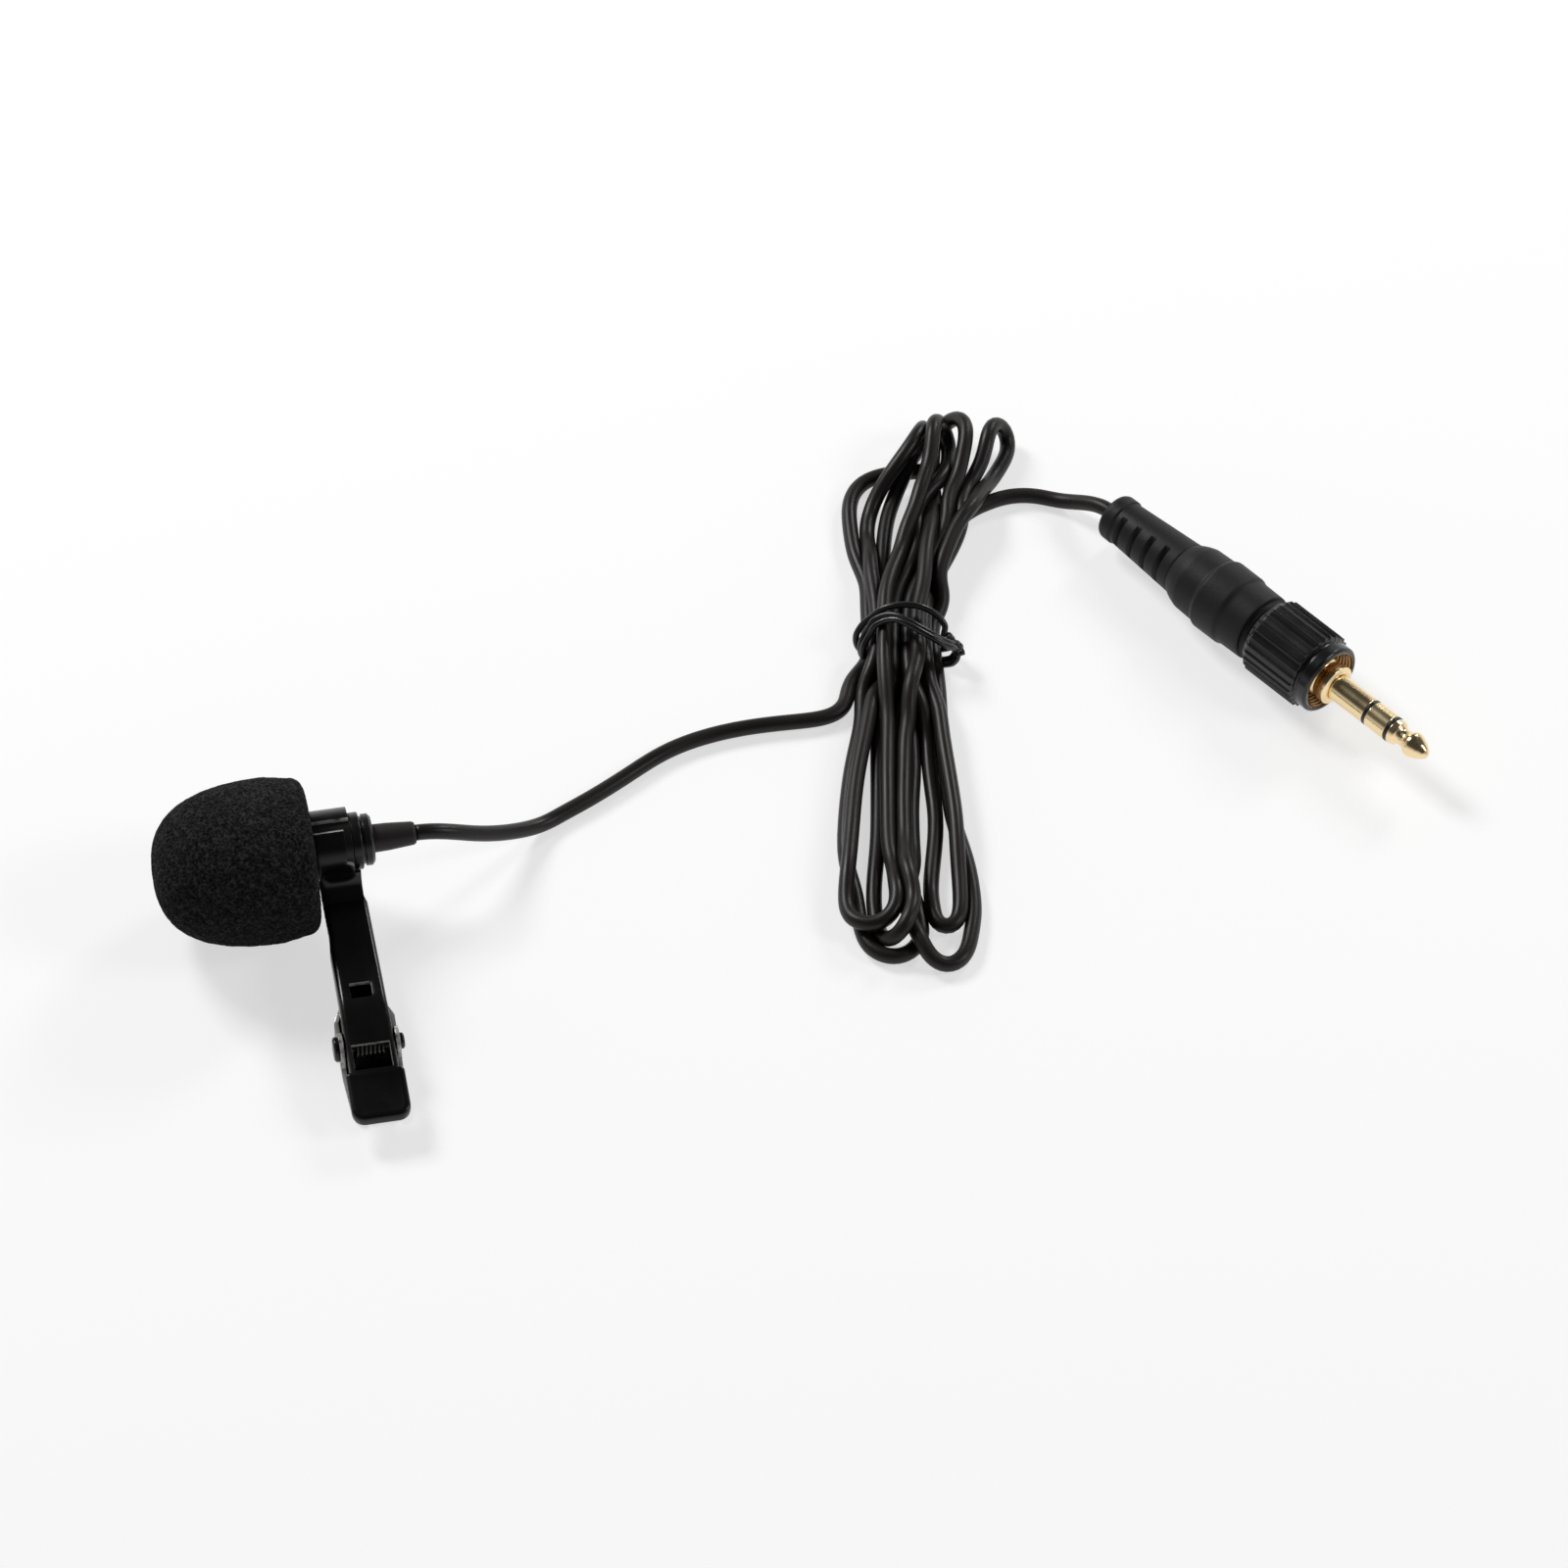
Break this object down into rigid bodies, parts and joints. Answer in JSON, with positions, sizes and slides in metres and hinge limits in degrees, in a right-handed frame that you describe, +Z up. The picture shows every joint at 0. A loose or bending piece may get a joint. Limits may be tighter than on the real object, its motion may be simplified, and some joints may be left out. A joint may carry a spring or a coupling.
{
  "type": "lavalier microphone",
  "caption": "Lavalier microphone with foam windscreen, spring clip, thin cord tied in a hank and a locking 3.5 mm three-pole plug.",
  "frame": {"origin": "centre of the bottom of the box round the microphone, its windscreen and its clip, on the table they lie on", "axes": "+Z up, +X along the microphone's axis from the windscreen to the cord, +Y away from the clip's thumb pad"},
  "size_m": [0.159, 0.0973, 0.0205],
  "materials": {
    "foam": "open-cell polyurethane foam, matt",
    "black_metal": "black anodised, satin",
    "grille_steel": "fine satin",
    "rubber": "matt moulded",
    "capsule_can": "drawn, satin",
    "board": "solder resist",
    "clip_paint": "black enamel, semi-gloss",
    "pin_steel": "satin",
    "spring_steel": "drawn wire",
    "cord_jacket": "smooth, slight sheen",
    "tie_coating": "plastic-coated wire",
    "plug_rubber": "matt moulded, fine texture",
    "collar_black": "black anodised, glossy",
    "gold": "gold plated, polished",
    "insulator": "moulded"
  },
  "bodies": {
    "microphone": {"capsule_barrel": "black_metal", "front_grille": "grille_steel", "capsule_gasket": "rubber", "electret_capsule": "capsule_can", "capsule_board": "board", "rear_cap": "black_metal", "strain_relief": "rubber", "mic_lead": "cord_jacket", "cable_hank": "cord_jacket", "twist_tie": "tie_coating", "plug_lead": "cord_jacket", "plug_boot": "plug_rubber", "plug_body": "plug_rubber", "plug_liner": "pin_steel", "cord_clamp": "pin_steel", "contact_board": "board", "collar_washer": "pin_steel", "plug_ferrule": "gold", "sleeve_contact": "gold", "ring_insulator": "insulator", "ring_contact": "gold", "tip_insulator": "insulator", "tip_contact": "gold"},
    "windscreen": {"windscreen": "foam"},
    "clip": {"clip_arm": "clip_paint", "hinge_pin": "pin_steel", "torsion_spring": "spring_steel"},
    "jaw": {"clip_jaw": "clip_paint"},
    "collar": {"locking_collar": "collar_black"}
  },
  "joints": [
    {"name": "windscreen_slide", "type": "slide", "parent": "microphone", "child": "windscreen", "axis": [-1, 0, 0], "range_m": [0, 0.014]},
    {"name": "clip_swivel", "type": "hinge", "parent": "microphone", "child": "clip", "pos_m": [0.00588, 0.01422, 0.01025], "axis": [1, 0, 0], "continuous": true},
    {"name": "jaw_hinge", "type": "hinge", "parent": "clip", "child": "jaw", "pos_m": [0.00617, -0.01227, 0.0042], "axis": [-1, 0, 0], "range_deg": [0, 16], "stiffness_Nm_per_rad": 0.1, "springref_deg": -28.65, "deforming": ["torsion_spring"]},
    {"name": "collar_turn", "type": "hinge", "parent": "microphone", "child": "collar", "pos_m": [0.13027, 0.02638, 0.00549], "axis": [0.537, -0.8429, 0.0349], "continuous": true}
  ]
}
